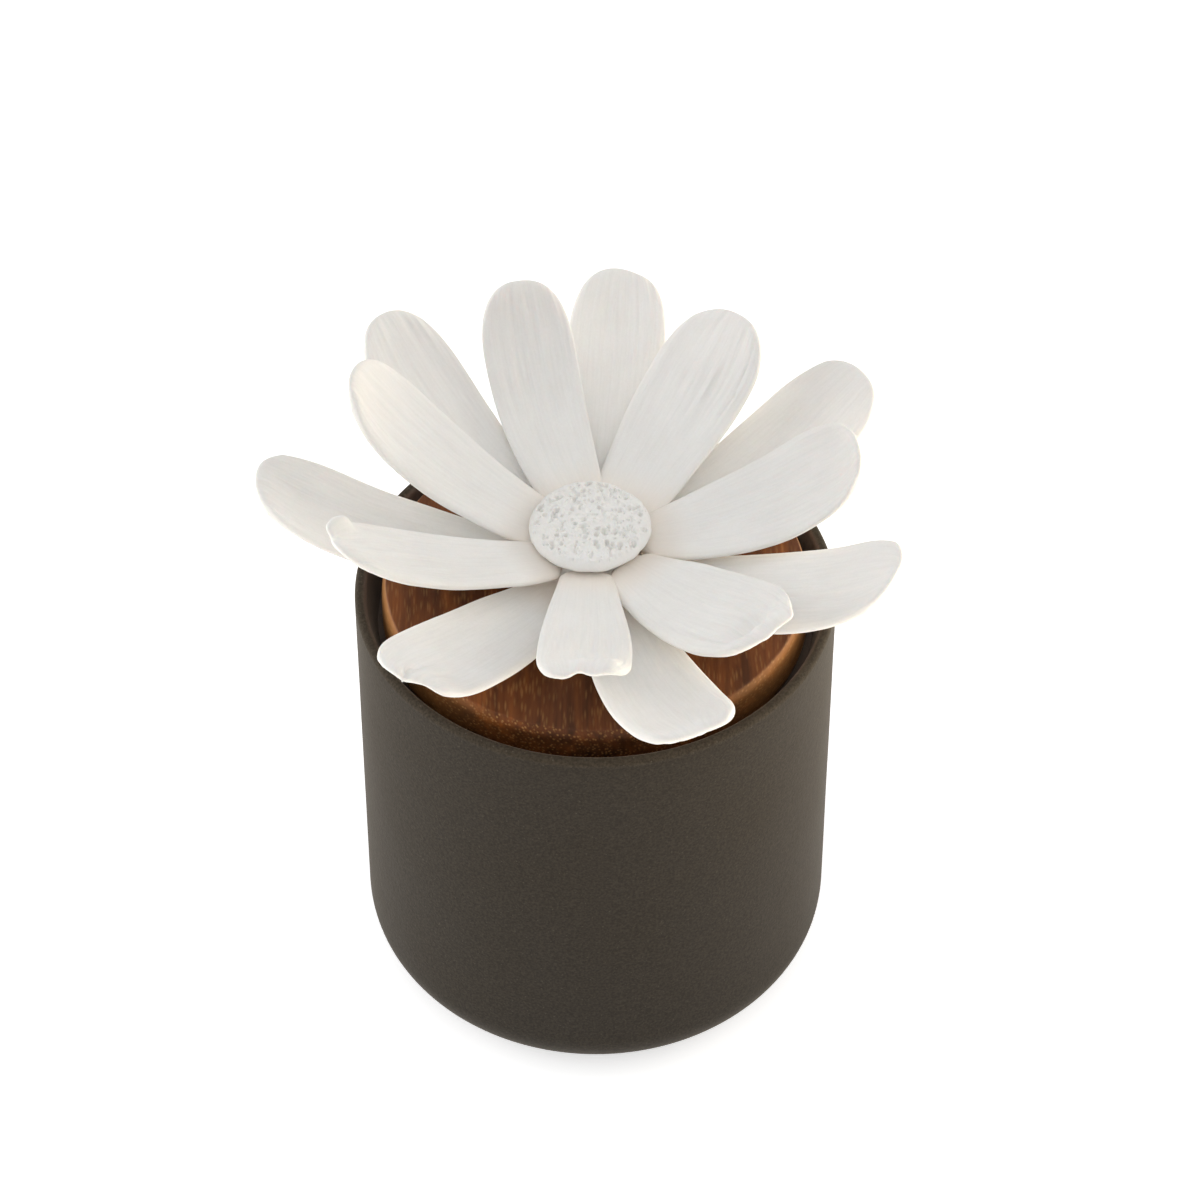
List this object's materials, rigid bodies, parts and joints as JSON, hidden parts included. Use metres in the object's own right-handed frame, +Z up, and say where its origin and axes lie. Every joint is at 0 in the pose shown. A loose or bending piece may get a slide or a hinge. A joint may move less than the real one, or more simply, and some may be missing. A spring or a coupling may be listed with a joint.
{
  "type": "flower fragrance diffuser",
  "caption": "Round dark stoneware pot with an inset wooden lid and a white clay flower on a wick that draws scent from the pot.",
  "frame": {"origin": "centre of the pot's flat foot, on the surface the diffuser stands on", "axes": "+Z up along the pot's axis; -Y faces the viewer of the front; +X to the viewer's right"},
  "size_m": [0.1024, 0.109, 0.1161],
  "materials": {
    "stoneware": "matt unglazed dark stoneware with fine speckle",
    "acacia": "oiled acacia with visible grain",
    "silicone": "milky soft silicone",
    "nylon": "natural nylon, satin",
    "cotton": "pressed cotton fibre",
    "clay": "unglazed white porcelain clay, chalky matt"
  },
  "bodies": {
    "pot": {"pot": "stoneware"},
    "lid_seal": {"lid_seal": "silicone"},
    "lid": {"lid": "acacia", "wick_bush": "nylon"},
    "wick": {"wick": "cotton"},
    "flower": {"flower_receptacle": "clay", "flower_disc": "clay", "petal_upper_1": "clay", "petal_upper_2": "clay", "petal_upper_3": "clay", "petal_upper_4": "clay", "petal_upper_5": "clay", "petal_upper_6": "clay", "petal_upper_7": "clay", "petal_lower_1": "clay", "petal_lower_2": "clay", "petal_lower_3": "clay", "petal_lower_4": "clay", "petal_lower_5": "clay", "petal_lower_6": "clay", "petal_lower_7": "clay"}
  },
  "joints": [
    {"name": "lid_lift", "type": "slide", "parent": "pot", "child": "lid_seal", "axis": [0, 0, 1], "range_m": [0, 0.08]},
    {"name": "lid_turn", "type": "hinge", "parent": "lid_seal", "child": "lid", "pos_m": [0, 0, 0.0752], "axis": [0, 0, 1], "continuous": true},
    {"name": "flower_lift", "type": "slide", "parent": "lid", "child": "wick", "axis": [0, 0, 1], "range_m": [0, 0.08]},
    {"name": "flower_turn", "type": "hinge", "parent": "wick", "child": "flower", "pos_m": [0, 0, 0.0848], "axis": [0, 0, 1], "continuous": true}
  ]
}
